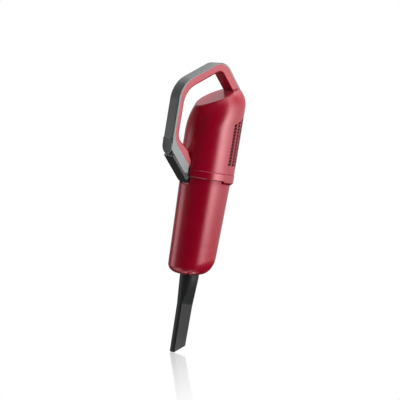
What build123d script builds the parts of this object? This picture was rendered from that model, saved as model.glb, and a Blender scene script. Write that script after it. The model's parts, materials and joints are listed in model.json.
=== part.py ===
from build123d import *
import math
import os

# Handheld vacuum cleaner with a loop handle, a dust cup and a crevice tool.
# Frame: +Z up along the body, origin on the body axis in the plane of the dust
# cup's inlet mouth, -X towards the front bar of the handle. Units are mm.

# Body
HOUSING_R = 54.1
HOUSING_WALL = 2.4
SEAM_Z = 204.0
SHOULDER_Z = 307.0
SHOULDER_SLOPE = 0.7174
OVAL_Z = 352.0
OVAL_SLOPE = 0.605
OVAL_X = -5.0
OVAL_A = 44.0
OVAL_B = 36.0
OVAL_PINCH = 0.3
CAP_GAP = 0.9
RIM_WIDTH = 1.6

# Dust cup
CUP_WALL = 2.2
CUP_TOP_R = 49.6
CUP_TOP_Z = 203.7
COLLAR_R = 54.5
COLLAR_FRONT_Z = 188.5
COLLAR_REAR_Z = 185.5
RECESS_Z = 172.5
RECESS_HALF = 15.7
RECESS_X = -46.0
CUP_ROUND_Z = 62.0
CUP_ROUND_R = 45.95
CUP_NECK_Z = 186.0
CUP_NECK_R = 49.4
CUP_FLOOR_Z = 3.3
CUP_FLOOR_SLOPE = 0.11
CUP_FRONT_CORNER = (17.0, 14.0)
CUP_REAR_CORNER = (27.0, 41.0)

# Inlet and crevice tool
NECK_R = 18.5
NECK_FIT = 0.06
NECK_TOP = 50.0
DUCT_TOP = 62.0
DUCT_WALL = 2.2
TOOL_WALL = 1.8
TOOL_TIP_Z = -154.5
TOOL_TIP_REAR_Z = -139.0
TOOL_TIP_R = 14.0
TOOL_TIP_HALF = 7.8
FLAP_PIN = (24.0, 64.6)

# Handle: side outlines as (x, z, corner radius)
HALF_WIDTH = 15.0
OUTLINE = [
    (-103.0, 229.3, 8.0),
    (-103.0, 359.05, 57.0),
    (-10.65, 422.1, 29.8),
    (39.0, 369.9, 0.0),
    (10.0, 330.0, 0.0),
    (-40.0, 300.0, 0.0),
    (-40.0, 165.1, 0.0),
]
TRIM_OUTLINE = [
    (-100.4, 234.5, 4.0),
    (-100.4, 358.64, 55.0),
    (-10.9, 419.75, 28.0),
    (36.4, 370.0, 0.0),
    (10.0, 330.0, 0.0),
    (-40.0, 300.0, 0.0),
    (-48.0, 212.0, 0.0),
    (-54.9, 209.3, 0.0),
    (-54.9, 195.1, 0.0),
    (-63.14, 195.1, 0.0),
]
CORE_OUTLINE = [
    (-25.0, 204.4, 0.0),
    (-50.0, 204.4, 0.0),
    (-91.2, 246.1, 12.0),
    (-98.1, 262.0, 25.0),
    (-98.1, 358.65, 52.0),
    (-11.08, 418.05, 26.8),
    (34.7, 369.95, 0.0),
    (40.0, 330.0, 0.0),
    (-25.0, 285.0, 0.0),
]
LOOP_HOLE = [
    (-88.8, 257.5, 22.0),
    (-88.8, 347.5, 46.0),
    (-14.65, 398.0, 11.0),
    (24.0, 359.35, 0.0),
    (0.0, 330.0, 0.0),
    (-42.0, 300.0, 0.0),
    (-45.0, 212.0, 0.0),
    (-50.0, 217.4, 0.0),
    (-61.0, 237.2, 14.0),
]
SEAM_POINT = (-93.0, 360.0)
TRIM_SPLIT_Z = 252.0
ARC_CENTRE = (-46.0, 328.95)

# Power button, in its own frame: +Z of the plane points out of the face
BUTTON_CENTRE = (-102.6, 240.0)
BUTTON_TILT = 7.0
BUTTON_R = 11.6
BUTTON_GAP = 0.3
RING_R = 14.8
RING_DEPTH = 6.0

# Cup latch lever
LEVER_PIVOT = (-92.8, 222.7)
LEVER_ROUND = 2.3
LEVER_HALF = 14.7
LEVER_FOOT_Z = 194.8
PIN_R = 1.5

# Motor and fan
SHAFT_R = 4.0
SHAFT_FIT = 0.05
STACK_R = 21.0
STACK_Z = (254.0, 286.0)
STATOR_R = 33.0
FAN_R = 38.0
FAN_Z = (215.0, 229.0)
SHROUD_R = 44.0
BEARING_R = 9.5
LOWER_BEARING_Z = 242.0
UPPER_BEARING_Z = 309.0
BEARING_H = 6.0
COMM_R = 11.0
COMM_Z = (290.0, 299.5)

# Vents
VENT_FIRST_Z = 223.5
VENT_PITCH = 6.25
VENT_LENGTH = 9.8
VENT_HEIGHT = 4.3
VENT_SLANT = 28.0
VENT_COLUMNS = [(77.0, 13), (65.0, 14), (53.0, 15), (41.0, 16), (29.0, 17), (17.0, 18), (5.0, 19)]


def tube(r_out, r_in, z_low, z_high):
    body = Pos(0, 0, (z_low + z_high) / 2) * Cylinder(r_out, z_high - z_low)
    if r_in > 0:
        body -= Pos(0, 0, (z_low + z_high) / 2) * Cylinder(r_in, z_high - z_low + 2)
    return body


def block(x_range, y_range, z_range):
    x_mid = (x_range[0] + x_range[1]) / 2
    y_mid = (y_range[0] + y_range[1]) / 2
    z_mid = (z_range[0] + z_range[1]) / 2
    size = (x_range[1] - x_range[0], y_range[1] - y_range[0], z_range[1] - z_range[0])
    return Pos(x_mid, y_mid, z_mid) * Box(*size)


def turned(profile):
    """Solid of revolution about Z from (radius, z) points."""
    points = [(r, 0, z) for r, z in profile]
    return revolve(make_face(Polyline(*points, close=True)), Axis.Z, 360)


def side_face(points):
    """Flat face in the XZ plane from (x, z, corner radius) points."""
    count = len(points)
    corners = []
    for i in range(count):
        x, z, radius = points[i]
        after = points[(i + 1) % count]
        here = Vector(x, 0, z)
        to_before = (Vector(points[i - 1][0], 0, points[i - 1][1]) - here).normalized()
        to_after = (Vector(after[0], 0, after[1]) - here).normalized()
        if radius == 0:
            corners.append((here, None, here))
            continue
        half = math.radians(to_before.get_angle(to_after)) / 2
        reach = radius / math.tan(half)
        centre = here + (to_before + to_after).normalized() * (radius / math.sin(half))
        middle = centre + (here - centre).normalized() * radius
        corners.append((here + to_before * reach, middle, here + to_after * reach))
    edges = []
    for i in range(count):
        start, middle, end = corners[i]
        if middle is not None:
            edges.append(Edge.make_three_point_arc(start, middle, end))
        edges.append(Edge.make_line(end, corners[(i + 1) % count][0]))
    return Face(Wire(edges))


def side_slab(points, half_width):
    return extrude(side_face(points), amount=half_width, dir=(0, 1, 0), both=True)


def half_space(origin, direction, size=1400.0):
    """Large block on the side of a plane that the direction points to."""
    return Plane(origin=origin, z_dir=direction) * Pos(0, 0, size / 2) * Box(size, size, size)


def along(origin, direction, radius, low, high):
    """Cylinder about an axis, from low to high along it."""
    return Plane(origin=origin, z_dir=direction) * Pos(0, 0, (low + high) / 2) * Cylinder(radius, high - low)


def bolt_circle(radius, count, start=0.0):
    places = []
    for i in range(count):
        angle = math.radians(start + 360.0 * i / count)
        places.append((radius * math.cos(angle), radius * math.sin(angle)))
    return places


# Oval on top of the housing

def oval_point(angle, inset):
    x = OVAL_X + (OVAL_A - inset) * math.cos(angle)
    y = (OVAL_B - inset) * math.sin(angle) * (1 - OVAL_PINCH * math.cos(angle) ** 2)
    return x, y


OVAL_NORMAL = Vector(-OVAL_SLOPE, 0, 1).normalized()


def oval_slab(inset, low, high):
    """Oval plate between two heights measured square to the oval's plane."""
    points = []
    for i in range(24):
        x, y = oval_point(2 * math.pi * i / 24, inset)
        points.append(Vector(x, y, OVAL_Z + OVAL_SLOPE * x) + OVAL_NORMAL * low)
    face = Face(Wire([Edge.make_spline(points, periodic=True)]))
    return extrude(face, amount=high - low, dir=OVAL_NORMAL)


def shoulder_ring(fraction, inset, sink):
    """Closed curve on the rounded shoulder: 0 leaves the cylinder, 1 is the oval."""
    points = []
    for i in range(24):
        angle = 2 * math.pi * i / 24
        start_x = (HOUSING_R - inset) * math.cos(angle)
        start_y = (HOUSING_R - inset) * math.sin(angle)
        start_z = SHOULDER_Z + SHOULDER_SLOPE * start_x
        end_x, end_y = oval_point(angle, inset)
        end_z = OVAL_Z + OVAL_SLOPE * end_x - sink
        sweep = math.radians(40.0 + 15.0 * math.cos(angle))
        turn = fraction * sweep
        inward = (1 - math.cos(turn)) / (1 - math.cos(sweep))
        upward = math.sin(turn) / math.sin(sweep)
        x = start_x + (end_x - start_x) * inward
        y = start_y + (end_y - start_y) * inward
        z = start_z + (end_z - start_z) * upward
        points.append(Vector(x, y, z))
    return Wire([Edge.make_spline(points, periodic=True)])


def housing_solid(inset, sink, bottom):
    radius = HOUSING_R - inset
    foot_z = SHOULDER_Z - 8.0
    tilt = Plane(origin=(0, 0, foot_z), x_dir=(1, 0, SHOULDER_SLOPE), z_dir=(-SHOULDER_SLOPE, 0, 1))
    foot = Edge.make_ellipse(radius * math.hypot(1, SHOULDER_SLOPE), radius, tilt)
    rings = [Wire([foot])] + [shoulder_ring(f, inset, sink) for f in (0.0, 0.3, 0.6, 0.85, 1.0)]
    top = Solid.make_loft(rings)
    barrel = tube(HOUSING_R - inset, 0, bottom, 372.0)
    barrel -= half_space((0, 0, foot_z), (-SHOULDER_SLOPE, 0, 1))
    return barrel + top


os.makedirs("parts", exist_ok=True)


def save(shape, name):
    export_step(shape, "parts/" + name + ".step")


# Housing shell

def vent_cutters():
    long_end = VENT_LENGTH / 2
    long_flat = long_end - 1.1
    high = VENT_HEIGHT / 2
    outline = [
        (long_end, 0),
        (long_flat, high),
        (-long_flat, high),
        (-long_end, 0),
        (-long_flat, -high),
        (long_flat, -high),
    ]
    slot = make_face(Polyline(*outline, close=True))
    cutters = []
    for angle, count in VENT_COLUMNS:
        for side in (-1, 1):
            for row in range(count):
                z = VENT_FIRST_Z + VENT_PITCH * row
                plane = Plane(origin=(49.0, 0, z), x_dir=(0, 1, 0), z_dir=(1, 0, 0))
                tool = extrude(plane * Rot(0, 0, -side * VENT_SLANT) * slot, amount=8.0)
                cutters.append(Rot(0, 0, side * angle) * tool)
    return cutters


GLAND_POINT = (51.0, 0, 352.5)
GLAND_AXIS = (0.8, 0, 0.6)
GLAND_R = 7.0
GLAND_BORE = 3.8

outer_solid = housing_solid(0.0, 0.0, SEAM_Z)
inner_solid = housing_solid(HOUSING_WALL, 4.6, SEAM_Z - 5.0)
shell = outer_solid - inner_solid
tower = tube(18.6, 16.1, 308.0, 372.0) & outer_solid
shell += tower - half_space((0, 0, OVAL_Z - 2.0), (-OVAL_SLOPE, 0, 1))
shell -= oval_slab(RIM_WIDTH, -1.7, 6.0)
shell -= along(GLAND_POINT, GLAND_AXIS, GLAND_R, -20.0, 20.0)
shell -= along((-70.0, 7.5, 220.0), (1, 0, 0), 1.6, 0.0, 40.0)
shell -= along((-70.0, -7.5, 220.0), (1, 0, 0), 1.6, 0.0, 40.0)
shell = shell.solids().sort_by(SortBy.VOLUME)[-1]
motor_housing = shell.cut(*vent_cutters())
save(motor_housing, "motor_housing")

# Handle frame: bars, strut, gusset and the oval cap in one moulding

ring_out = Vector(-math.cos(math.radians(BUTTON_TILT)), 0, -math.sin(math.radians(BUTTON_TILT)))
ring_up = Vector(-math.sin(math.radians(BUTTON_TILT)), 0, math.cos(math.radians(BUTTON_TILT)))
ring_centre = Vector(BUTTON_CENTRE[0], 0, BUTTON_CENTRE[1])
button_plane = Plane(origin=ring_centre, x_dir=(0, 1, 0), z_dir=ring_out)


def in_button(shape):
    return button_plane * shape


def button_cylinder(radius, low, high):
    return in_button(Pos(0, 0, (low + high) / 2) * Cylinder(radius, high - low))


def button_block(half_y, t_low, t_high, low, high):
    """Block in the button's frame; t runs up the face, low to high along its axis."""
    sign = 1.0 if button_plane.y_dir.dot(ring_up) > 0 else -1.0
    centre = sign * (t_low + t_high) / 2
    return in_button(Pos(0, centre, (low + high) / 2) * Box(2 * half_y, t_high - t_low, high - low))


button_well = button_block(12.6, -12.8, 12.8, -15.0, -RING_DEPTH + 1.0)
switch_well = button_block(9.0, -11.0, 1.5, -25.0, -14.9)


# Every layer is trimmed to the housing and to the plane the cup leaves through.
loop_hole = side_slab(LOOP_HOLE, HALF_WIDTH + 1)
core_slab = side_slab(CORE_OUTLINE, HALF_WIDTH)
trim_slab = side_slab(TRIM_OUTLINE, HALF_WIDTH)
full_slab = side_slab(OUTLINE, HALF_WIDTH)
ring_zone = button_block(HALF_WIDTH + 1, -15.3, 15.3, -20.0, 12.0)


def outline_edges(shape, points):
    """Edges of a side slab's two flat faces that lie on a given outline."""
    wire = side_face(points).outer_wire()
    chosen = []
    for edge in shape.edges():
        middle = edge.position_at(0.5)
        on_side = abs(abs(middle.Y) - HALF_WIDTH) < 0.01
        if on_side and wire.distance_to(Vertex(middle.X, 0, middle.Z)) < 0.02:
            chosen.append(edge)
    return chosen


frame_bars = core_slab - loop_hole
hole_edges = outline_edges(frame_bars, LOOP_HOLE)
frame_bars = fillet([e for e in hole_edges if e.position_at(0.5).Z > 232.0], 3.0)
frame_bars -= outer_solid
frame_bars -= button_well + switch_well
cap = oval_slab(RIM_WIDTH + CAP_GAP, -1.7, 1.2)
cap = chamfer(cap.faces().sort_by(Axis.Z)[-1].edges(), 0.5)
handle_frame = frame_bars + cap
for y in (-7.5, 7.5):
    handle_frame -= along((-62.0, y, 220.0), (1, 0, 0), 1.6, 0.0, 20.0)
save(handle_frame, "handle_frame")

# Silver trim between the red core and the dark bands, and the base that carries the latch
trim_lower = half_space((-54.9, 0, 0), (1, 0, 0)) & half_space((0, 0, 250.0), (0, 0, -1))
handle_trim = trim_slab - core_slab - outer_solid - trim_lower
handle_trim -= button_well + switch_well
handle_trim -= button_cylinder(RING_R, -RING_DEPTH, 12.0)
pin_place = (LEVER_PIVOT[0], 0, LEVER_PIVOT[1])
lever_out = Vector(-0.714, 0, -0.700)
lever_down = Vector(0.700, 0, -0.714)


def about_pin(radius, low, high):
    """Cylinder about the latch pin between two distances, on both sides of the middle."""
    return along(pin_place, (0, 1, 0), radius, low, high) + along(pin_place, (0, -1, 0), radius, low, high)


lug_plane = Plane(origin=pin_place, x_dir=(0, 1, 0), z_dir=lever_out)
lugs = about_pin(2.3, 6.6, 10.4)
for y in (-8.5, 8.5):
    lugs += lug_plane * Pos(y, 0, -2.0) * Box(3.8, 4.2, 4.0)
trim_and_base = handle_trim + lugs - cap
trim_and_base -= along(pin_place, (0, 1, 0), PIN_R, -13.2, 13.2)
handle_trim = trim_and_base & half_space((0, 0, TRIM_SPLIT_Z), (0, 0, 1))
latch_base = trim_and_base & half_space((0, 0, TRIM_SPLIT_Z), (0, 0, -1))
save(handle_trim, "handle_trim")
save(latch_base, "latch_base")

# Outer bands: glossy front band, soft grip, latch lever
seam_way = Vector(SEAM_POINT[1] - ARC_CENTRE[1], 0, ARC_CENTRE[0] - SEAM_POINT[0])
seam_way = (seam_way.normalized() + Vector(0, -0.17, 0)).normalized()
seam_at = Vector(SEAM_POINT[0], 0, SEAM_POINT[1])
outer_edges = [e for e in outline_edges(full_slab, OUTLINE) if e.position_at(0.5).X < 39.0]
outer_edges = [e for e in outer_edges if e.position_at(0.5).X < -42.0 or e.position_at(0.5).Z > 370.0]

front_band = fillet(outer_edges, 2.2) - trim_slab - half_space(seam_at - seam_way * 0.1, seam_way)
front_band = (front_band & half_space((-70.0, 0, 0), (-1, 0, 0))) - ring_zone
front_band = front_band.solids().sort_by(Axis.Z)[-1]
save(front_band, "front_band")

grip_band = fillet(outer_edges, 1.4) - trim_slab - outer_solid
grip_band &= half_space(seam_at + seam_way * 0.1, seam_way)
grip_band &= half_space((0, 0, 330.0), (0, 0, 1))
grip_band -= cap
grip_band = grip_band.solids().sort_by(SortBy.VOLUME)[-1]
save(grip_band, "grip_band")

lever_points = [
    (-103.0, 229.3, 0.0),
    (-103.0, 237.3, 0.0),
    (-62.79, LEVER_FOOT_Z, 0.0),
    (-48.5, LEVER_FOOT_Z, 0.0),
    (-48.5, 175.5, 0.0),
    (-50.2, 175.5, 0.0),
]
lever_inside = [
    (-100.4, 234.0, 0.0),
    (-100.4, 300.0, 0.0),
    (-40.0, 300.0, 0.0),
    (-40.0, LEVER_FOOT_Z, 0.0),
    (-63.35, LEVER_FOOT_Z, 0.0),
]
cup_latch = side_slab(lever_points, LEVER_HALF) - side_slab(lever_inside, HALF_WIDTH + 1)
lever_round = lug_plane * Pos(0, 17.0, 0) * RectangleRounded(2 * LEVER_HALF, 94.0, 9.0)
cup_latch &= extrude(lever_round, amount=60.0, both=True)
cup_latch -= half_space(pin_place, -lever_down)
cup_latch += along(pin_place, (0, 1, 0), LEVER_ROUND, -LEVER_HALF, LEVER_HALF)
cup_latch -= about_pin(3.5, 6.2, 10.8)
cup_latch -= along(pin_place, (0, 1, 0), 3.2, -3.8, 3.8)
cup_latch -= along(pin_place, (0, 1, 0), PIN_R + SHAFT_FIT, -13.4, 13.4)
save(cup_latch, "cup_latch")
save(along(pin_place, (0, 1, 0), PIN_R, -13.2, 13.2), "latch_pin")
latch_spring = along(pin_place, (0, 1, 0), 2.2, -3.2, 3.2) - along(pin_place, (0, 1, 0), PIN_R, -9.0, 9.0)
for i in range(7):
    turn_y = -2.7 + 0.9 * i
    groove = along(pin_place, (0, 1, 0), 3.0, turn_y + 0.3, turn_y + 0.55)
    latch_spring -= groove - along(pin_place, (0, 1, 0), 1.8, -9.0, 9.0)
save(latch_spring, "latch_spring")

# Power button with its bezel, switch and return spring
button_ring = (full_slab - trim_slab) & ring_zone
button_ring -= half_space((-80.0, 0, 0), (1, 0, 0))
button_ring -= button_block(HALF_WIDTH + 1, -16.0, 16.0, -0.8, 14.0)
button_ring &= button_cylinder(15.4, -20.0, 12.0) + button_block(HALF_WIDTH + 1, 0.0, 16.0, -20.0, 12.0)
button_ring += button_cylinder(RING_R, -RING_DEPTH, 0.0)
button_ring -= button_cylinder(BUTTON_R + BUTTON_GAP, -30.0, 20.0)
button_ring -= button_cylinder(12.8, -30.0, -RING_DEPTH)
button_ring = button_ring.solids().sort_by(SortBy.VOLUME)[-1]
save(button_ring, "button_ring")

power_button = button_cylinder(BUTTON_R, -7.0, -0.3) + button_cylinder(12.3, -7.7, -6.2)
power_button += button_cylinder(4.0, -9.4, -7.7)
power_button -= in_button(Pos(0, 0, 77.9) * Sphere(78.6))
save(power_button, "power_button")

power_switch = button_block(7.0, -9.0, 1.0, -24.0, -15.5)
power_switch += button_cylinder(1.4, -15.6, -12.1)
save(power_switch, "power_switch")

coil_path = Helix(pitch=1.3, height=3.9, radius=6.2)
coil_start = coil_path @ 0
coil_wire = sweep(Plane(origin=coil_start, z_dir=coil_path % 0) * Circle(0.4), path=coil_path)
button_spring = in_button(Pos(0, 0, -12.2) * coil_wire)
save(button_spring, "button_spring")

# Dust cup, hollow, with a flat recess in front for the foot of the latch lever

def cup_ring(turn, climb, inset, lift):
    """Closed curve on the rounded bottom: turn goes from 90 at the floor to 0, then climb from 0 to 1."""
    points = []
    for i in range(24):
        angle = 2 * math.pi * i / 24
        rear = (1 + math.cos(angle)) / 2
        across = CUP_FRONT_CORNER[0] + (CUP_REAR_CORNER[0] - CUP_FRONT_CORNER[0]) * rear
        rise = CUP_FRONT_CORNER[1] + (CUP_REAR_CORNER[1] - CUP_FRONT_CORNER[1]) * rear
        side_r = CUP_ROUND_R - inset - 0.5 * rear - 1.1 * (1 - rear)
        floor = CUP_FLOOR_Z + lift + CUP_FLOOR_SLOPE * (side_r - across) * math.cos(angle)
        radius = side_r - across * (1 - math.cos(math.radians(turn)))
        height = floor + rise * (1 - math.sin(math.radians(turn)))
        radius += (CUP_ROUND_R - inset - side_r) * climb
        height += (CUP_ROUND_Z - floor - rise) * climb
        points.append(Vector(radius * math.cos(angle), radius * math.sin(angle), height))
    return Wire([Edge.make_spline(points, periodic=True)])


def cup_solid(inset, lift, top):
    rings = [cup_ring(turn, 0.0, inset, lift) for turn in (90, 75, 60, 45, 30, 15, 0)]
    rings += [cup_ring(0, climb, inset, lift) for climb in (0.25, 0.5, 0.75)]
    rings.append(Wire([Edge.make_circle(CUP_ROUND_R - inset, Plane(origin=(0, 0, CUP_ROUND_Z)))]))
    upper = turned([
        (0, CUP_ROUND_Z),
        (CUP_ROUND_R - inset, CUP_ROUND_Z),
        (CUP_NECK_R - inset, CUP_NECK_Z),
        (CUP_TOP_R - inset, CUP_NECK_Z + 2.0),
        (CUP_TOP_R - inset, top),
        (0, top),
    ])
    return Solid.make_loft(rings) + upper


cup_outer = cup_solid(0.0, 0.0, CUP_TOP_Z)
cup_inner = cup_solid(CUP_WALL, 2.6, CUP_TOP_Z + 6.0)
recess = block((-80.0, RECESS_X), (-RECESS_HALF, RECESS_HALF), (RECESS_Z, 260.0))
recess = fillet(recess.edges().filter_by(Axis.X).sort_by(Axis.Z)[:2], 7.0)
recess_back = block((RECESS_X - 4.0, RECESS_X + 2.4), (-18.5, 18.5), (RECESS_Z - 2.4, CUP_TOP_Z))
duct_r = NECK_R + NECK_FIT
dust_cup = (cup_outer - cup_inner) + (recess_back & cup_outer)
dust_cup -= recess
dust_cup -= tube(duct_r + DUCT_WALL, 0, -5.0, 20.0)
for z in (164.0, 168.6):
    dust_cup += block((-49.6, -47.0), (-7.5, 7.5), (z - 0.7, z + 0.7)) & tube(49.35, 0, z - 1, z + 1)
dust_cup = dust_cup.solids().sort_by(SortBy.VOLUME)[-1]
save(dust_cup, "dust_cup")

collar = turned([
    (CUP_TOP_R, COLLAR_FRONT_Z),
    (COLLAR_R - 1.6, COLLAR_FRONT_Z),
    (COLLAR_R, COLLAR_FRONT_Z + 1.6),
    (COLLAR_R, CUP_TOP_Z - 1.1),
    (COLLAR_R - 0.9, CUP_TOP_Z),
    (CUP_TOP_R, CUP_TOP_Z),
])
rear_collar = turned([
    (CUP_TOP_R, COLLAR_REAR_Z - 2.2),
    (COLLAR_R - 0.2, COLLAR_REAR_Z + 1.8),
    (COLLAR_R + 0.25, COLLAR_REAR_Z + 2.4),
    (COLLAR_R + 0.25, CUP_TOP_Z - 1.1),
    (COLLAR_R - 0.9, CUP_TOP_Z),
    (CUP_TOP_R, CUP_TOP_Z),
])
rear_collar &= half_space((4.5, 0, 0), (1, 0, 0))
cup_collar = collar + rear_collar
cup_collar -= block((-80.0, -20.0), (-RECESS_HALF, RECESS_HALF), (180.0, 210.0))
save(cup_collar, "cup_collar")

# Inlet duct, flap valve and its pin
inlet_duct = tube(duct_r + DUCT_WALL, duct_r, 0.0, DUCT_TOP)
inlet_duct -= half_space((0, 0, CUP_FLOOR_Z + 0.7), (CUP_FLOOR_SLOPE, 0, -1))
inlet_duct += tube(duct_r + 0.5, NECK_R - TOOL_WALL - 1.0, NECK_TOP + 0.4, NECK_TOP + 2.4)
for y in (-7.0, 7.0):
    cheek = block((19.2, 27.0), (y - 1.4, y + 1.4), (DUCT_TOP - 12.0, FLAP_PIN[1] + 2.6))
    inlet_duct += cheek - tube(duct_r + 0.5, 0, 0.0, 80.0)
flap_axis = (FLAP_PIN[0], 0, FLAP_PIN[1])
inlet_duct -= along(flap_axis, (0, 1, 0), 1.0, -12.0, 12.0)
save(inlet_duct, "inlet_duct")
save(along(flap_axis, (0, 1, 0), 1.0, -8.4, 8.4), "flap_pin")
inlet_flap = tube(20.4, 0, DUCT_TOP + 0.3, DUCT_TOP + 2.0)
inlet_flap -= block((17.6, 30.0), (-30.0, 30.0), (DUCT_TOP - 1, DUCT_TOP + 3))
inlet_flap += block((17.0, FLAP_PIN[0]), (-5.2, 5.2), (DUCT_TOP + 0.3, DUCT_TOP + 2.0))
inlet_flap += along(flap_axis, (0, 1, 0), 2.3, -5.2, 5.2)
inlet_flap -= along(flap_axis, (0, 1, 0), 1.05, -12.0, 12.0)
save(inlet_flap, "inlet_flap")

# Crevice tool: a round neck cut down by two flats into a flat nozzle

def tool_solid(inset, top):
    cone = turned([
        (0, TOOL_TIP_Z - 10.0),
        (TOOL_TIP_R - inset, TOOL_TIP_Z - 10.0),
        (15.2 - inset, -60.0),
        (NECK_R - inset, -6.0),
        (NECK_R - inset, top),
        (0, top),
    ])
    half = TOOL_TIP_HALF - inset
    flats = [
        (-half, TOOL_TIP_Z - 20.0),
        (-half - 0.3, -58.0),
        (-half - 10.9, -10.0),
        (-half - 10.9, top + 1),
        (half + 10.9, top + 1),
        (half + 10.9, -10.0),
        (half + 0.3, -58.0),
        (half, TOOL_TIP_Z - 20.0),
    ]
    wedge = make_face(Polyline(*[(0, y, z) for y, z in flats], close=True))
    return cone & extrude(wedge, amount=40.0, dir=(1, 0, 0), both=True)


tool_outer = tool_solid(0.0, NECK_TOP)
crevice_tool = tool_outer - tool_solid(TOOL_WALL, NECK_TOP + 2.0)
bevel_rise = TOOL_TIP_REAR_Z - TOOL_TIP_Z
crevice_tool -= half_space((-TOOL_TIP_R, 0, TOOL_TIP_Z), (bevel_rise, 0, -2 * TOOL_TIP_R))
save(crevice_tool, "crevice_tool")

# Filter unit, pushed up onto the neck of the seat plate
PLATE_Z = (204.3, 207.3)
NECK_BORE = 23.0
NECK_OUT = 26.0
seat_plate = tube(HOUSING_R - HOUSING_WALL, NECK_BORE, PLATE_Z[0], PLATE_Z[1])
seat_plate += tube(NECK_OUT, NECK_BORE, 190.0, PLATE_Z[0] + 0.5)
seat_plate -= tube(50.0, 43.0, PLATE_Z[0] - 1.0, PLATE_Z[0] + 1.4)
plate_screw_places = bolt_circle(38.5, 4, 45.0)
for x, y in plate_screw_places:
    seat_plate -= Pos(x, y, PLATE_Z[0]) * Cylinder(1.6, 12.0)
    seat_plate -= Pos(x, y, PLATE_Z[0] + 0.5) * Cylinder(3.0, 1.6)
save(seat_plate, "seat_plate")
save(tube(49.9, 43.1, 203.95, PLATE_Z[0] + 1.4), "cup_seal")

filter_cage = tube(39.0, NECK_OUT + 0.06, 197.5, 203.6) + tube(39.0, 0, 137.0, 140.0)
for x, y in bolt_circle(37.2, 8):
    filter_cage += Pos(x, y, 168.8) * Cylinder(1.4, 60.0)
filter_cage += tube(39.0, 36.2, 167.6, 170.4)
save(filter_cage, "filter_cage")
save(tube(40.1, 39.0, 138.0, 200.0), "filter_mesh")
pleats = []
for i in range(72):
    radius = 35.4 if i % 2 == 0 else 31.0
    angle = 2 * math.pi * i / 72
    pleats.append((radius * math.cos(angle), radius * math.sin(angle), 140.0))
pleat_face = make_face(Polyline(*pleats, close=True))
filter_pleats = extrude(pleat_face, amount=57.5, dir=(0, 0, 1)) - tube(28.0, 0, 120.0, 210.0)
save(filter_pleats, "filter_pleats")

# Fan: shroud with the eye over the plate's neck, impeller, diffuser
fan_shroud = turned([
    (NECK_BORE, PLATE_Z[1]),
    (SHROUD_R + 4.0, PLATE_Z[1]),
    (SHROUD_R + 4.0, 209.4),
    (SHROUD_R, 209.4),
    (SHROUD_R, 234.0),
    (SHROUD_R - 2.0, 234.0),
    (SHROUD_R - 2.0, 213.0),
    (NECK_BORE - 3.0, 213.0),
    (NECK_BORE - 3.0, 210.6),
    (NECK_BORE, 210.6),
])
for x, y in plate_screw_places:
    fan_shroud -= Pos(x, y, 208.0) * Cylinder(1.6, 20.0)
save(fan_shroud, "fan_shroud")

impeller = tube(FAN_R, 0, FAN_Z[1] - 1.5, FAN_Z[1]) + tube(9.0, 0, FAN_Z[0], FAN_Z[1])
impeller += tube(FAN_R, 20.0, FAN_Z[0], FAN_Z[0] + 1.2)
blade_line = ThreePointArc((8.5, 0), (24.0, 9.0), (FAN_R - 0.2, 9.5))
blade_back = ThreePointArc((8.5, -1.4), (24.4, 7.7), (FAN_R, 8.2))
blade_ends = [Line(blade_line @ 0, blade_back @ 0), Line(blade_line @ 1, blade_back @ 1)]
blade_face = make_face([blade_line, blade_back] + blade_ends)
blade = extrude(Pos(0, 0, FAN_Z[0] + 0.6) * blade_face, amount=12.4)
for i in range(9):
    impeller += Rot(0, 0, 40.0 * i) * blade
impeller -= tube(SHAFT_R, 0, 200.0, 240.0)
save(impeller, "impeller")

diffuser = tube(SHROUD_R - 2.0, 12.0, 231.0, 233.2)
for x, y in bolt_circle(35.0, 12):
    diffuser -= Pos(x, y, 232.0) * Cylinder(4.2, 6.0)
save(diffuser, "diffuser")

# Motor, fixed parts
def bracket(z_low, z_high, hub_low, hub_high):
    frame = tube(BEARING_R + 3.0, BEARING_R, hub_low, hub_high)
    for turn in (0, 90):
        arm = block((-36.0, 36.0), (-5.0, 5.0), (z_low, z_high))
        frame += Rot(0, 0, turn + 45) * (arm - tube(BEARING_R + 1.0, 0, z_low - 1, z_high + 1))
    return frame


lower_bracket = bracket(238.0, 241.5, 236.0, 248.0)
lower_bracket += tube(SHROUD_R, 32.0, 234.0, 238.0)
lower_bracket += tube(36.0, 32.0, 238.0, STACK_Z[0])
upper_bracket = bracket(304.0, 307.0, 301.0, 318.0)
for turn in (90, 270):
    upper_bracket += Rot(0, 0, turn) * block((12.0, 24.0), (-4.0, 4.0), (301.0, 304.5))
for turn in (45, 135, 225, 315):
    upper_bracket += Rot(0, 0, turn) * block((33.2, 36.0), (-5.0, 5.0), (STACK_Z[1], 307.0))
save(lower_bracket, "lower_bracket")
save(upper_bracket, "upper_bracket")

stator_core = tube(STATOR_R, STACK_R + 0.6, STACK_Z[0], STACK_Z[1])
coil_space = tube(30.0, STACK_R - 1.0, STACK_Z[0] - 1.0, STACK_Z[1] + 1.0)
for turn in (0, 180):
    stator_core -= Rot(0, 0, turn) * (coil_space & block((0, 40), (-13.0, 13.0), (240.0, 300.0)))
save(stator_core, "stator_core")
coil_ring = tube(29.9, STACK_R + 0.8, STACK_Z[0] - 5.5, STACK_Z[1] + 5.5)
field_coils = (coil_ring & block((0, 40), (-12.9, 12.9), (240.0, 300.0))) + (
    coil_ring & block((-40, 0), (-12.9, 12.9), (240.0, 300.0))
)
save(field_coils, "field_coils")

bearing = tube(BEARING_R, SHAFT_R + SHAFT_FIT, 0, BEARING_H)
bearing -= tube(7.8, 5.6, -1.0, 0.5) + tube(7.8, 5.6, BEARING_H - 0.5, BEARING_H + 1)
bearings = Pos(0, 0, LOWER_BEARING_Z) * bearing + Pos(0, 0, UPPER_BEARING_Z) * bearing
save(bearings, "bearings")

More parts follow.
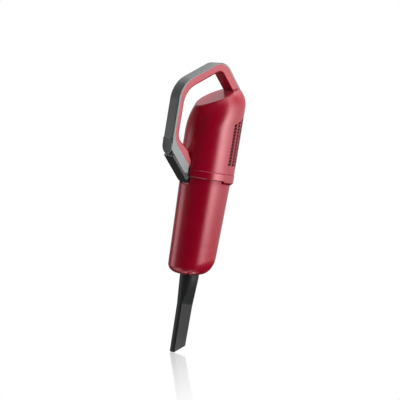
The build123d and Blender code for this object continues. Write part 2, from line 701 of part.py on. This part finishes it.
brush_boxes = block((COMM_R + 2.0, 30.0), (-4.0, 4.0), (291.0, 298.0))
brush_boxes += block((15.0, 22.0), (-3.0, 3.0), (297.0, 301.0))
brush_boxes -= block((COMM_R, 40.0), (-2.6, 2.6), (292.2, 296.8))
brush_holders = Rot(0, 0, 90) * brush_boxes + Rot(0, 0, 270) * brush_boxes
save(brush_holders, "brush_holders")
brush_block = block((COMM_R - 1.0, 22.0), (-2.6, 2.6), (292.2, 296.8))
brush_block -= tube(COMM_R + 0.06, 0, 280.0, 310.0)
save(Rot(0, 0, 90) * brush_block + Rot(0, 0, 270) * brush_block, "carbon_brushes")

# Motor, turning parts
motor_shaft = tube(SHAFT_R, 0, 208.5, 316.5)
save(motor_shaft, "motor_shaft")
save(tube(7.0, SHAFT_R, 210.4, FAN_Z[0]), "impeller_nut")
armature_core = tube(STACK_R, SHAFT_R, STACK_Z[0], STACK_Z[1])
slot_space = block((13.0, 24.0), (-1.6, 1.6), (240.0, 300.0))
for i in range(12):
    armature_core -= Rot(0, 0, 30.0 * i) * slot_space
save(armature_core, "armature_core")
winding_low = tube(18.5, SHAFT_R + 2.0, STACK_Z[0] - 4.0, STACK_Z[0])
winding_high = tube(18.5, SHAFT_R + 2.0, STACK_Z[1], COMM_Z[0] - 0.5)
armature_windings = chamfer(winding_low.edges().sort_by(Axis.Z)[0], 1.5)
armature_windings += chamfer(winding_high.edges().sort_by(Axis.Z)[-1], 1.5)
for i in range(12):
    bar = block((13.1, 19.8), (-1.5, 1.5), (STACK_Z[0] - 0.5, STACK_Z[1] + 0.5))
    armature_windings += Rot(0, 0, 30.0 * i) * bar
save(armature_windings, "armature_windings")
commutator = tube(COMM_R, SHAFT_R, COMM_Z[0], COMM_Z[1])
for i in range(24):
    commutator -= Rot(0, 0, 15.0 * i) * block((COMM_R - 0.9, 14.0), (-0.25, 0.25), (291.5, 310.0))
save(commutator, "commutator")

# Rubber mounts, exhaust filter, cord gland, screws
save(tube(HOUSING_R - HOUSING_WALL, SHROUD_R, 209.4, 214.4), "mount_ring")
save(tube(16.1, BEARING_R + 3.0, 308.0, 318.0) + tube(16.1, 6.0, 318.0, 320.5), "mount_cap")
exhaust_filter = tube(HOUSING_R - HOUSING_WALL, 48.6, 214.4, 300.0) & half_space((4.0, 0, 0), (1, 0, 0))
save(exhaust_filter, "exhaust_filter")

cord_gland = along(GLAND_POINT, GLAND_AXIS, GLAND_R - 0.02, -9.0, 8.0)
cord_gland += along(GLAND_POINT, GLAND_AXIS, GLAND_R + 1.6, 4.6, 7.0) - outer_solid
cord_gland -= along(GLAND_POINT, GLAND_AXIS, GLAND_BORE, -40.0, 40.0)
cord_gland = cord_gland.solids().sort_by(SortBy.VOLUME)[-1]
save(cord_gland, "cord_gland")

plate_screws = []
for x, y in plate_screw_places:
    plate_screws.append(Pos(x, y, 208.0) * Cylinder(1.6, 5.2))
    plate_screws.append(Pos(x, y, 205.0) * Cylinder(2.9, 0.9))
save(plate_screws[0].fuse(*plate_screws[1:]), "plate_screws")
handle_screws = []
for y in (-7.5, 7.5):
    handle_screws.append(along((-61.5, y, 220.0), (1, 0, 0), 1.6, 0.0, 12.5))
    handle_screws.append(along((-50.5, y, 220.0), (1, 0, 0), 3.0, 0.0, 1.8))
save(handle_screws[0].fuse(*handle_screws[1:]), "handle_screws")
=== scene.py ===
import bmesh
import bpy
import json
import math
from mathutils import Matrix, Vector
from mathutils.bvhtree import BVHTree


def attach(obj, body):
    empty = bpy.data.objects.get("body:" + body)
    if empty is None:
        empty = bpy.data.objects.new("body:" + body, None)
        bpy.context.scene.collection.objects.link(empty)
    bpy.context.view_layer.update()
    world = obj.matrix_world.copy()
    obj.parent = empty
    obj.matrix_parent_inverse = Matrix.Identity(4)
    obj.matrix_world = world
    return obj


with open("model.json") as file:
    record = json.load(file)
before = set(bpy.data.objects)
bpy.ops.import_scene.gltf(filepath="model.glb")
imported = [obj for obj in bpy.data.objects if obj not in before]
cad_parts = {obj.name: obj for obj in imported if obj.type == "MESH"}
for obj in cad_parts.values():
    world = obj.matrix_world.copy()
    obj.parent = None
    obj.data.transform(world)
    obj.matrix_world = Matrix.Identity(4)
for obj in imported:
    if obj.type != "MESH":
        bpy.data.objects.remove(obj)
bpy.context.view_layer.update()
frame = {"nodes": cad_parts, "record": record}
scene = bpy.context.scene
scene.view_settings.view_transform = "Standard"

# Camera: from the front left, almost level, rolled so that the body leans to the right
VIEW_AZIMUTH = math.radians(-37.0)
VIEW_ELEVATION = math.radians(2.5)
VIEW_ROLL = math.radians(9.35)
VIEW_AIM = Vector((-0.0028, 0.0021, 0.146))
VIEW_DISTANCE = 2.158
VIEW_LENS = 100.0
VIEW_SENSOR = 36.0

level = Vector((math.sin(VIEW_AZIMUTH), -math.cos(VIEW_AZIMUTH), 0.0))
level_right = Vector((math.cos(VIEW_AZIMUTH), math.sin(VIEW_AZIMUTH), 0.0))
back = level * math.cos(VIEW_ELEVATION) + Vector((0, 0, math.sin(VIEW_ELEVATION)))
plain_up = back.cross(level_right)
view_right = level_right * math.cos(VIEW_ROLL) + plain_up * math.sin(VIEW_ROLL)
view_up = plain_up * math.cos(VIEW_ROLL) - level_right * math.sin(VIEW_ROLL)

camera_data = bpy.data.cameras.new("camera")
camera_data.lens = VIEW_LENS
camera_data.sensor_width = VIEW_SENSOR
camera = bpy.data.objects.new("camera", camera_data)
scene.collection.objects.link(camera)
scene.camera = camera
axes = Matrix((view_right, view_up, back)).transposed()
camera.matrix_world = Matrix.Translation(VIEW_AIM + back * VIEW_DISTANCE) @ axes.to_4x4()


def add_node(tree, kind, sources=None, **settings):
    """Makes a node. Sources give its inputs, by number or name, a link or a plain value."""
    node = tree.nodes.new(kind)
    for key, value in settings.items():
        setattr(node, key, value)
    for key, source in (sources or {}).items():
        if isinstance(source, bpy.types.NodeSocket):
            tree.links.new(source, node.inputs[key])
        else:
            node.inputs[key].default_value = source
    return node


# Light: a studio all round the object, brighter where its soft boxes stand. Each list
# holds brightness by turn, in degrees round from where the camera stands and positive to
# its right, or by rise, in degrees above the horizon.
KEY_BRIGHT = 8.6
KEY_TURNS = [
    (-180, 0.053), (-150, 0.027), (-120, 0.01), (-60, 0.002), (0, 0.001), (18, 0.006), (26, 0.1),
    (36, 0.68), (46, 1.0), (58, 0.78), (76, 0.42), (100, 0.24), (140, 0.09), (180, 0.053),
]
KEY_RISES = [
    (-30, 0.02), (-11, 0.05), (-8, 0.35), (-5, 0.7), (-1, 0.95), (1, 1.0), (40, 0.65), (60, 0.3),
    (90, 0.1),
]
STRIP_BRIGHT = 1.9
STRIP_TURNS = [
    (-180, 0.0), (-128, 0.0), (-116, 0.75), (-106, 1.0), (-96, 0.75), (-84, 0.1), (-60, 0.0),
    (180, 0.0),
]
STRIP_RISES = [(-20, 0.0), (-11, 1.0), (-2, 1.0), (1.5, 0.3), (5, 0.05), (90, 0.0)]
REAR_BRIGHT = 7.0
REAR_TURNS = [
    (-180, 1.0), (-150, 1.0), (-125, 0.35), (-105, 0.04), (-60, 0.01), (110, 0.02), (140, 0.5),
    (180, 1.0),
]
REAR_RISES = [(-90, 0.005), (15, 0.01), (28, 0.05), (36, 0.09), (50, 0.4), (64, 1.0), (90, 1.0)]
CEILING_BRIGHT = 2.0
CEILING_RISES = [(-90, 0.0), (56, 0.0), (72, 0.8), (90, 1.0)]
LOW_BRIGHT = 1.6
LOW_TURNS = [(-180, 0.0), (-125, 0.05), (-100, 1.0), (-70, 1.0), (-40, 0.1), (-20, 0.0), (180, 0.0)]
LOW_RISES = [(-90, 0.8), (-60, 1.0), (-35, 0.7), (-18, 0.2), (-10, 0.0), (90, 0.0)]
FILL_BRIGHT = 2.6
FILL_TURNS = [
    (-180, 0.75), (-150, 1.0), (-80, 1.0), (-50, 0.25), (-20, 0.08), (60, 0.08), (140, 0.2),
    (180, 0.75),
]
FILL_RISES = [(-90, 0.42), (10, 0.42), (50, 0.8), (90, 1.0)]
WHITE = (1.0, 1.0, 1.0, 1.0)

world = bpy.data.worlds.new("studio")
scene.world = world
world.use_nodes = True
studio = world.node_tree
studio.nodes.clear()


def times(first, second):
    return add_node(studio, "ShaderNodeMath", {0: first, 1: second}, operation="MULTIPLY").outputs[0]


def along_way(direction):
    """Share of the light's direction that runs along the given one."""
    sources = {0: way, 1: direction}
    return add_node(studio, "ShaderNodeVectorMath", sources, operation="DOT_PRODUCT").outputs["Value"]


def studio_curve(source, points, low, high):
    """Brightness against a value that runs from low to high."""
    placed = add_node(studio, "ShaderNodeMapRange", {0: source, 1: low, 2: high, 3: 0.0, 4: 1.0})
    ramp = add_node(studio, "ShaderNodeValToRGB", {0: placed.outputs[0]})
    stops = ramp.color_ramp.elements
    while len(stops) > 1:
        stops.remove(stops[-1])
    for index, (value, bright) in enumerate(points):
        place = (value - low) / (high - low)
        stop = stops[0] if index == 0 else stops.new(place)
        stop.position = place
        stop.color = (bright, bright, bright, 1.0)
    return ramp.outputs[0]


def by_turn(points):
    radians = [(math.radians(degrees), bright) for degrees, bright in points]
    return studio_curve(turn, radians, -math.pi, math.pi)


def by_rise(points):
    heights = [(math.sin(math.radians(degrees)), bright) for degrees, bright in points]
    return studio_curve(rise, heights, -1.0, 1.0)


way = add_node(studio, "ShaderNodeTexCoord").outputs["Generated"]
ahead = along_way(tuple(level))
aside = along_way(tuple(level_right))
turn = add_node(studio, "ShaderNodeMath", {0: aside, 1: ahead}, operation="ARCTAN2").outputs[0]
rise = along_way((0, 0, 1))

# Only diffuse rays see the fill, and the camera itself sees plain white
rays = add_node(studio, "ShaderNodeLightPath").outputs
key = times(times(by_turn(KEY_TURNS), by_rise(KEY_RISES)), KEY_BRIGHT)
strip = times(times(by_turn(STRIP_TURNS), by_rise(STRIP_RISES)), STRIP_BRIGHT)
rear = times(times(by_turn(REAR_TURNS), by_rise(REAR_RISES)), REAR_BRIGHT)
low = times(times(by_turn(LOW_TURNS), by_rise(LOW_RISES)), LOW_BRIGHT)
ceiling = times(by_rise(CEILING_RISES), CEILING_BRIGHT)
fill_all = times(times(by_turn(FILL_TURNS), by_rise(FILL_RISES)), FILL_BRIGHT)
fill = times(fill_all, rays["Is Diffuse Ray"])
total = key
for light in (strip, rear, low, ceiling, fill):
    total = add_node(studio, "ShaderNodeMath", {0: total, 1: light}, operation="ADD").outputs[0]
lit = add_node(studio, "ShaderNodeBackground", {0: WHITE, 1: total}).outputs[0]
backdrop = add_node(studio, "ShaderNodeBackground", {0: WHITE, 1: 1.0}).outputs[0]
choice = add_node(studio, "ShaderNodeMixShader", {0: rays["Is Camera Ray"], 1: lit, 2: backdrop})
add_node(studio, "ShaderNodeOutputWorld", {0: choice.outputs[0]})


def linear(red, green, blue):
    """Scene colour from 0-255 display values."""
    out = []
    for value in (red, green, blue):
        v = value / 255.0
        out.append(v / 12.92 if v <= 0.04045 else ((v + 0.055) / 1.055) ** 2.4)
    return (*out, 1.0)


def shade(colour, factor):
    return (colour[0] * factor, colour[1] * factor, colour[2] * factor, 1.0)


class Shader:
    """A Principled material that is put together from small procedural layers."""

    def __init__(self, name, metallic=0.0, specular=0.5, sheen=0.0):
        self.material = bpy.data.materials.new(name)
        self.material.use_nodes = True
        self.tree = self.material.node_tree
        self.tree.nodes.clear()
        look = {"Metallic": metallic, "Specular IOR Level": specular, "Sheen Weight": sheen}
        self.bsdf = add_node(self.tree, "ShaderNodeBsdfPrincipled", look)
        add_node(self.tree, "ShaderNodeOutputMaterial", {0: self.bsdf.outputs[0]})
        self.place = add_node(self.tree, "ShaderNodeTexCoord").outputs["Object"]
        self.normal = None

    def noise(self, scale, detail, stretch=(1, 1, 1)):
        place = add_node(self.tree, "ShaderNodeMapping", {"Vector": self.place, "Scale": stretch})
        sources = {"Scale": scale, "Detail": detail, "Vector": place.outputs[0]}
        return add_node(self.tree, "ShaderNodeTexNoise", sources).outputs["Fac"]

    def wave(self, scale, direction):
        sources = {"Scale": scale, "Vector": self.place}
        wave = add_node(self.tree, "ShaderNodeTexWave", sources, bands_direction=direction)
        return wave.outputs["Fac"]

    def colour(self, source, first, second, start=0.35, stop=0.65):
        ramp = add_node(self.tree, "ShaderNodeValToRGB", {0: source})
        ramp.color_ramp.elements[0].position = start
        ramp.color_ramp.elements[0].color = first
        ramp.color_ramp.elements[1].position = stop
        ramp.color_ramp.elements[1].color = second
        self.tree.links.new(ramp.outputs[0], self.bsdf.inputs["Base Color"])

    def roughness(self, source, low, high, start=0.3, stop=0.7):
        sources = {"From Min": start, "From Max": stop, "To Min": low, "To Max": high, "Value": source}
        spread = add_node(self.tree, "ShaderNodeMapRange", sources)
        self.tree.links.new(spread.outputs[0], self.bsdf.inputs["Roughness"])

    def bump(self, source, depth):
        sources = {"Strength": 1.0, "Distance": depth, "Height": source}
        if self.normal is not None:
            sources["Normal"] = self.normal
        self.normal = add_node(self.tree, "ShaderNodeBump", sources).outputs[0]
        self.tree.links.new(self.normal, self.bsdf.inputs["Normal"])


# Noises are (scale, detail), and depths are in metres
MOULDED_DRIFT = (9.0, 2.0)
MOULDED_RUBS = (55.0, 6.0)
MOULDED_WAVER = (14.0, 1.0)
MOULDED_WAVER_DEPTH = 0.00006
MOULDED_GRAIN = (2600.0, 2.0)
METAL_DRIFT = (30.0, 3.0)
METAL_RUBS = (300.0, 4.0)
METAL_MARKS = (900.0, 2.0)
METAL_MARK_DEPTH = 0.00001
CLOTH_RUBS = (80.0, 3.0)
CLOTH_DEPTH = 0.00015
CLOTH_SHEEN = 0.2


def moulded(name, colour, rough, grain=0.00002, spread=0.06, **kind):
    """Injection-moulded plastic: fine grain, slow drift of colour and gloss, faint rub marks."""
    m = Shader(name, **kind)
    m.colour(m.noise(*MOULDED_DRIFT), shade(colour, 1.0 - spread), shade(colour, 1.0 + spread))
    m.roughness(m.noise(*MOULDED_RUBS), rough - 0.03, rough + 0.04)
    m.bump(m.noise(*MOULDED_WAVER), MOULDED_WAVER_DEPTH)
    m.bump(m.noise(*MOULDED_GRAIN), grain)
    return m.material


def metal(name, colour, rough, stretch=(1, 1, 30)):
    """Turned or drawn metal with fine marks along one way."""
    m = Shader(name, metallic=1.0)
    m.colour(m.noise(*METAL_DRIFT), shade(colour, 0.88), shade(colour, 1.05))
    m.roughness(m.noise(*METAL_RUBS, stretch), rough - 0.07, rough + 0.1)
    m.bump(m.noise(*METAL_MARKS, stretch), METAL_MARK_DEPTH)
    return m.material


def woven(name, thread, gap, pitch, rough):
    """Fine square mesh cloth."""
    m = Shader(name, sheen=CLOTH_SHEEN)
    threads = {0: m.wave(pitch, "Z"), 1: m.wave(pitch, "DIAGONAL")}
    mixed = add_node(m.tree, "ShaderNodeMath", threads, operation="MAXIMUM").outputs[0]
    m.colour(mixed, gap, thread, 0.45, 0.75)
    m.roughness(m.noise(*CLOTH_RUBS), rough - 0.05, rough + 0.05)
    m.bump(mixed, CLOTH_DEPTH)
    return m.material


RED = (0.27, 0.0004, 0.0145, 1.0)
MOULDINGS = {
    "red_plastic": (RED, 0.2, dict(metallic=0.12, specular=0.6)),
    "red_cup_plastic": (RED, 0.18, dict(metallic=0.16, specular=0.65)),
    "silver_plastic": (linear(118, 122, 122), 0.36, dict(spread=0.04)),
    "black_gloss_plastic": (linear(24, 24, 26), 0.16, dict(grain=0.000004, specular=0.22)),
    "band_black": (linear(68, 70, 71), 0.3, dict(grain=0.00001, specular=0.5)),
    "grip_grey": (linear(74, 77, 78), 0.36, dict(grain=0.00003, spread=0.08)),
    "black_plastic": (linear(30, 30, 32), 0.3, dict(specular=0.4, grain=0.00004, spread=0.1)),
    "nozzle_plastic": (linear(24, 25, 26), 0.42, dict(grain=0.00003, spread=0.1, specular=0.3)),
    "black_rubber": (linear(26, 26, 27), 0.7, dict(grain=0.00005, spread=0.15, sheen=0.1)),
    "white_plastic": (linear(214, 212, 205), 0.4, dict(spread=0.03)),
    "carbon": (linear(34, 33, 33), 0.6, dict(grain=0.00005, spread=0.2)),
    # filter_foam is near-black red with no gloss, painted shade: it stands for the shaded red inside the
    # exhaust slots, and the foam filter inside takes the same colour
    "filter_foam": (linear(22, 6, 9), 0.95, dict(grain=0.0002, spread=0.3, specular=0.0)),
    "filter_paper": (linear(226, 222, 208), 0.85, dict(grain=0.0001, spread=0.05)),
}
METALS = {
    "steel": (linear(185, 186, 188), 0.26),
    "zinc_steel": (linear(190, 186, 172), 0.32),
    "lamination_steel": (linear(112, 110, 108), 0.45, (1, 1, 60)),
    "copper_winding": (linear(186, 92, 52), 0.3, (1, 1, 24)),
    "brass": (linear(196, 150, 84), 0.3),
    "cast_aluminium": (linear(160, 162, 164), 0.42, (1, 1, 1)),
}
CLOTH_PITCH = 420.0
CLOTH_ROUGH = 0.7
materials = {name: moulded(name, *look, **kind) for name, (*look, kind) in MOULDINGS.items()}
materials.update({name: metal(name, *look) for name, look in METALS.items()})
materials["filter_mesh_cloth"] = woven(
    "filter_mesh_cloth", linear(196, 198, 200), linear(60, 62, 66), CLOTH_PITCH, CLOTH_ROUGH
)

# Curved faces of the frame are shaded smoothly across the seams between their facets
SHARP_ANGLE = math.radians(27.0)
WELD_DISTANCE = 0.000002
smoother = bpy.data.node_groups.new("smooth_curves", "GeometryNodeTree")
for direction in ("INPUT", "OUTPUT"):
    smoother.interface.new_socket("Geometry", in_out=direction, socket_type="NodeSocketGeometry")
shape = add_node(smoother, "NodeGroupInput").outputs[0]
weld = {"Distance": WELD_DISTANCE, "Geometry": shape}
shape = add_node(smoother, "GeometryNodeMergeByDistance", weld).outputs[0]
shape = add_node(smoother, "GeometryNodeSetShadeSmooth", {"Geometry": shape}).outputs[0]
bend = add_node(smoother, "GeometryNodeInputMeshEdgeAngle").outputs["Unsigned Angle"]
sharp = add_node(smoother, "FunctionNodeCompare", {"B": SHARP_ANGLE, "A": bend}).outputs[0]
crease = {"Shade Smooth": False, "Geometry": shape, "Selection": sharp}
shape = add_node(smoother, "GeometryNodeSetShadeSmooth", crease, domain="EDGE").outputs[0]
add_node(smoother, "NodeGroupOutput", {0: shape})

# The front band is a satin version of its slot's gloss black
OWN_LOOKS = {"front_band": "band_black"}
for part in frame["record"]["subparts"]:
    obj = frame["nodes"][part["node"]]
    obj.data.materials.clear()
    obj.data.materials.append(materials[OWN_LOOKS.get(part["node"], part["material_slot"])])
    obj.modifiers.new("smooth_curves", "NODES").node_group = smoother


def new_piece(name, maker, material, body):
    """Turns a bmesh into a piece that rides on a body and takes the finish of a material slot."""
    bmesh.ops.recalc_face_normals(maker, faces=maker.faces)
    mesh = bpy.data.meshes.new(name)
    maker.to_mesh(mesh)
    maker.free()
    piece = bpy.data.objects.new(name, mesh)
    scene.collection.objects.link(piece)
    mesh.materials.append(materials[material])
    piece.modifiers.new("smooth_curves", "NODES").node_group = smoother
    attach(piece, body)


def on_circle(first, second, angle):
    return first * math.cos(angle) + second * math.sin(angle)


def join_rings(maker, ring, following):
    """Wall between two rings of points."""
    for step in range(len(ring)):
        after = (step + 1) % len(ring)
        maker.faces.new((ring[step], ring[after], following[after], following[step]))


ACROSS = Vector((0, 1, 0))
UP = Vector((0.0, 0.0, 1.0))
BEAD_SIDES = 12


def swept_bead(maker, path, radius, closed):
    """Round bead along a list of points."""
    rings = []
    count = len(path)
    for index, point in enumerate(path):
        before = path[(index - 1) % count] if closed or index > 0 else point
        after = path[(index + 1) % count] if closed or index < count - 1 else point
        along = (after - before).normalized()
        outward = UP if closed else Vector((point.x, point.y, 0.0)).normalized()
        first = along.cross(outward).normalized()
        second = first.cross(along).normalized()
        angles = [2 * math.pi * step / BEAD_SIDES for step in range(BEAD_SIDES)]
        rings.append([maker.verts.new(point + on_circle(first, second, angle) * radius) for angle in angles])
    for index in range(count if closed else count - 1):
        join_rings(maker, rings[index], rings[(index + 1) % count])
    if not closed:
        maker.faces.new(rings[0])
        maker.faces.new(rings[-1])


def surface_of(name):
    return BVHTree.FromObject(frame["nodes"][name], bpy.context.evaluated_depsgraph_get())


housing_surface = surface_of("motor_housing")
HOUSING_OUTSIDE = 0.08


def housing_radius(angle, height):
    """Distance from the body's axis to the housing's outer face."""
    way_out = Vector((math.cos(angle), math.sin(angle), 0.0))
    hit = housing_surface.ray_cast(way_out * HOUSING_OUTSIDE + Vector((0, 0, height)), -way_out)[0]
    return Vector((hit.x, hit.y)).length


# Gauze in the exhaust slots, one small plate to each slot, in near-black red as painted shade
# inside the slots. A column is (degrees round from the rear, number of slots), and there
# is one on each side.
SLOT_COLUMNS = [(77.0, 13), (65.0, 14), (53.0, 15), (41.0, 16), (29.0, 17), (17.0, 18), (5.0, 19)]
SLOT_FIRST_Z = 0.2235
SLOT_PITCH = 0.00625
SLOT_SLANT = math.radians(28.0)
SLOT_HALF_LENGTH = 0.00485
SLOT_HALF_HEIGHT = 0.0021
SLOT_END = 0.0011
COLUMN_GAP = math.radians(6.0)
GAUZE_DEPTH = 0.00012
GAUZE_THICK = 0.0005
flat_end = SLOT_HALF_LENGTH - SLOT_END
slot_outline = [
    (SLOT_HALF_LENGTH, 0.0), (flat_end, SLOT_HALF_HEIGHT), (-flat_end, SLOT_HALF_HEIGHT),
    (-SLOT_HALF_LENGTH, 0.0), (-flat_end, -SLOT_HALF_HEIGHT), (flat_end, -SLOT_HALF_HEIGHT),
]


def slot_plate(maker, angle, slant, middle):
    """Thin plate in one slot, bent to the housing's curve."""
    rings = [[], []]
    for x, y in slot_outline:
        across = x * math.cos(slant) - y * math.sin(slant)
        height = middle + x * math.sin(slant) + y * math.cos(slant)
        reach = min(housing_radius(angle + offset, height) for offset in (-COLUMN_GAP, COLUMN_GAP))
        spot = angle + across / reach
        for ring, depth in zip(rings, (GAUZE_DEPTH, GAUZE_DEPTH + GAUZE_THICK)):
            distance = reach - depth
            ring.append(maker.verts.new((distance * math.cos(spot), distance * math.sin(spot), height)))
    maker.faces.new(rings[0])
    maker.faces.new(rings[1])
    join_rings(maker, *rings)


shade_gauze = bmesh.new()
for column, count in SLOT_COLUMNS:
    for side in (-1, 1):
        for row in range(count):
            middle = SLOT_FIRST_Z + SLOT_PITCH * row
            slot_plate(shade_gauze, math.radians(side * column), -side * SLOT_SLANT, middle)
new_piece("exhaust_shade_gauze", shade_gauze, "filter_foam", "motor_unit")

# Bright line round the power button's bezel
BEZEL_CENTRE = Vector((-0.1026, 0.0, 0.240))
BEZEL_TILT = math.radians(7.0)
BEZEL_R = 0.0149
BEZEL_BEAD = 0.0008
BEZEL_SINK = 0.0011
BEZEL_STEPS = 96
bezel_out = Vector((-math.cos(BEZEL_TILT), 0.0, -math.sin(BEZEL_TILT)))
bezel_up = Vector((-math.sin(BEZEL_TILT), 0.0, math.cos(BEZEL_TILT)))
bezel_path = []
for step in range(BEZEL_STEPS):
    spoke = on_circle(ACROSS, bezel_up, 2 * math.pi * step / BEZEL_STEPS)
    bezel_path.append(BEZEL_CENTRE - bezel_out * BEZEL_SINK + spoke * BEZEL_R)
bezel = bmesh.new()
swept_bead(bezel, bezel_path, BEZEL_BEAD, True)
new_piece("bezel_line", bezel, "silver_plastic", "motor_unit")

# Raised lip round the recess that takes the latch's foot
LIP_HALF_WIDTH = 0.0159
LIP_BOTTOM_Z = 0.1723
LIP_TOP_Z = 0.1925
LIP_CORNER = 0.007
LIP_CORNER_STEPS = 12
LIP_R = 0.0494
LIP_BEAD = 0.0007
LIP_SPACING = 0.001
lip_flat = [(LIP_HALF_WIDTH, LIP_TOP_Z)]
for step in range(LIP_CORNER_STEPS + 1):
    angle = math.radians(-90.0 * step / LIP_CORNER_STEPS)
    lip_flat.append((
        LIP_HALF_WIDTH - LIP_CORNER + LIP_CORNER * math.cos(angle),
        LIP_BOTTOM_Z + LIP_CORNER + LIP_CORNER * math.sin(angle),
    ))
lip_flat += [(-across, up) for across, up in reversed(lip_flat)]
lip_path = []
for (across, up), (next_across, next_up) in zip(lip_flat, lip_flat[1:] + lip_flat[-1:]):
    steps = max(1, int(math.hypot(next_across - across, next_up - up) / LIP_SPACING))
    for step in range(steps):
        y = across + (next_across - across) * step / steps
        lip_path.append(Vector((-math.sqrt(LIP_R * LIP_R - y * y), y, up + (next_up - up) * step / steps)))
lip = bmesh.new()
swept_bead(lip, lip_path, LIP_BEAD, False)
new_piece("recess_lip", lip, "red_cup_plastic", "cup")

# Rounded rim round the oval cap, open where the handle's strut stands on it
OVAL_Z = 0.352
OVAL_SLOPE = 0.605
OVAL_MIDDLE_X = -0.012
OVAL_OUTSIDE = 0.1
RIM_BEAD = 0.0008
RIM_STEPS = 240
RIM_AIM = 0.0003
RIM_LIFT = 0.0002
STRUT_CLEAR = 0.0011
oval_normal = Vector((-OVAL_SLOPE, 0.0, 1.0)).normalized()
oval_along = Vector((1.0, 0.0, OVAL_SLOPE)).normalized()
oval_middle = Vector((OVAL_MIDDLE_X, 0.0, OVAL_Z + OVAL_SLOPE * OVAL_MIDDLE_X))
strut_surfaces = [surface_of(name) for name in ("handle_frame", "handle_trim", "grip_band")]
rim_path = []
for step in range(RIM_STEPS):
    spoke = on_circle(oval_along, ACROSS, 2 * math.pi * step / RIM_STEPS)
    start = oval_middle - oval_normal * RIM_AIM + spoke * OVAL_OUTSIDE
    edge = housing_surface.ray_cast(start, -spoke)[0]
    spot = edge - spoke * RIM_BEAD + oval_normal * RIM_LIFT
    if min(strut.find_nearest(spot)[3] for strut in strut_surfaces) > STRUT_CLEAR:
        rim_path.append(spot)
rim = bmesh.new()
swept_bead(rim, rim_path, RIM_BEAD, False)
new_piece("cap_rim", rim, "red_plastic", "motor_unit")

# Floor: clear, but for a reflection of what stands on it. The reflection fades with
# distance from the tip, and there is none on the side away from the camera.
TIP = Vector((-0.014, 0.0, -0.1545))
FLOOR_HALF = 2.4
FLOOR_CELLS = 8
FLOOR_DROP = 0.0004
MIRROR_CLOSENESS = (8.0, 1.6, 8.0)
MIRROR_MOST = 0.42
MIRROR_BEHIND = 0.06
MIRROR_COLOUR = (2.08, 2.08, 2.08, 1)
MIRROR_ROUGH = 0.05
floor_mesh = bpy.data.meshes.new("floor")
floor_maker = bmesh.new()
bmesh.ops.create_grid(floor_maker, x_segments=FLOOR_CELLS, y_segments=FLOOR_CELLS, size=FLOOR_HALF)
floor_maker.to_mesh(floor_mesh)
floor_maker.free()
floor = bpy.data.objects.new("floor", floor_mesh)
scene.collection.objects.link(floor)
floor_axes = Matrix((view_right, view_up.cross(view_right), view_up)).transposed()
floor.matrix_world = Matrix.Translation(TIP - view_up * FLOOR_DROP) @ floor_axes.to_4x4()

sheet = bpy.data.materials.new("floor_gloss")
sheet.use_nodes = True
tree = sheet.node_tree
tree.nodes.clear()
place = add_node(tree, "ShaderNodeTexCoord").outputs["Object"]
closer = add_node(tree, "ShaderNodeMapping", {"Scale": MIRROR_CLOSENESS, "Vector": place}).outputs[0]
fade = add_node(tree, "ShaderNodeTexGradient", {"Vector": closer}, gradient_type="SPHERICAL")
fade_range = {"From Min": 0.0, "From Max": 1.0, "To Min": 0.0, "To Max": MIRROR_MOST}
near_tip = add_node(tree, "ShaderNodeMapRange", {**fade_range, "Value": fade.outputs["Fac"]})
depth = add_node(tree, "ShaderNodeSeparateXYZ", {0: place}).outputs["Y"]
in_front = add_node(
    tree, "ShaderNodeMapRange", {"From Min": MIRROR_BEHIND, "From Max": 0.0, "Value": depth}
)
both = {0: in_front.outputs[0], 1: near_tip.outputs[0]}
share = add_node(tree, "ShaderNodeMath", both, operation="MULTIPLY").outputs[0]
clear = add_node(tree, "ShaderNodeBsdfTransparent").outputs[0]
gloss = {"Color": MIRROR_COLOUR, "Roughness": MIRROR_ROUGH}
mirror = add_node(tree, "ShaderNodeBsdfGlossy", gloss).outputs[0]
blend = add_node(tree, "ShaderNodeMixShader", {0: share, 1: clear, 2: mirror})
add_node(tree, "ShaderNodeOutputMaterial", {0: blend.outputs[0]})
floor_mesh.materials.append(sheet)
